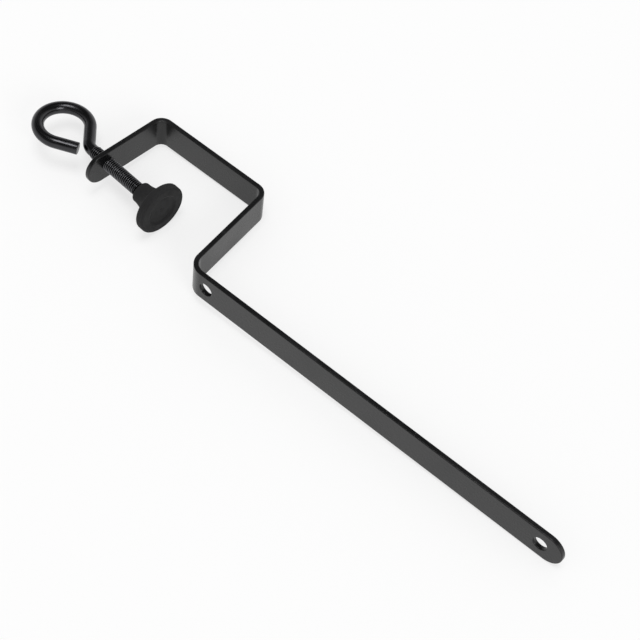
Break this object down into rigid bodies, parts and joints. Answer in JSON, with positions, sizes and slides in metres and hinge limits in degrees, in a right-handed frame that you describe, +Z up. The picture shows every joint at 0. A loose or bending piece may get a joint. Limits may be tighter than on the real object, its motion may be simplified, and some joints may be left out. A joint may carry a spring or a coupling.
{
  "type": "table tennis net clamp",
  "caption": "Screw clamp with a net post, bent from flat steel strip: C-shaped jaw for a table edge, eye screw with a swivelling pressure foot, and a straight post with cord holes.",
  "frame": {"origin": "middle of the overall outline at floor height, with the clamp lying on its side on the foot's rim, the outer corner of the upper back bend and the edge of the post's tip", "axes": "+X along the post towards its tip, +Y towards the back of the C, +Z up"},
  "size_m": [0.2404, 0.0436, 0.0188],
  "materials": {
    "black_powder_coat": "satin black powder coat",
    "black_oxide_steel": "black oxide on round steel rod, satin",
    "black_moulded_plastic": "moulded black plastic, matt"
  },
  "bodies": {
    "bracket": {"bracket": "black_powder_coat"},
    "foot": {"pressure_foot": "black_moulded_plastic"},
    "screw": {"clamp_screw": "black_oxide_steel"}
  },
  "joints": [
    {"name": "screw_feed", "type": "slide", "parent": "bracket", "child": "foot", "axis": [0.9969, -0.0763, -0.0198], "range_m": [-0.0152, 0.0056]},
    {"name": "screw_turn", "type": "hinge", "parent": "foot", "child": "screw", "pos_m": [-0.08615, -0.00448, 0.00994], "axis": [0.9969, -0.0763, -0.0198], "range_deg": [-6840, 2520]}
  ],
  "couplings": [
    {"joint": "screw_turn", "follows": "screw_feed", "rad_per_m": 7854}
  ]
}
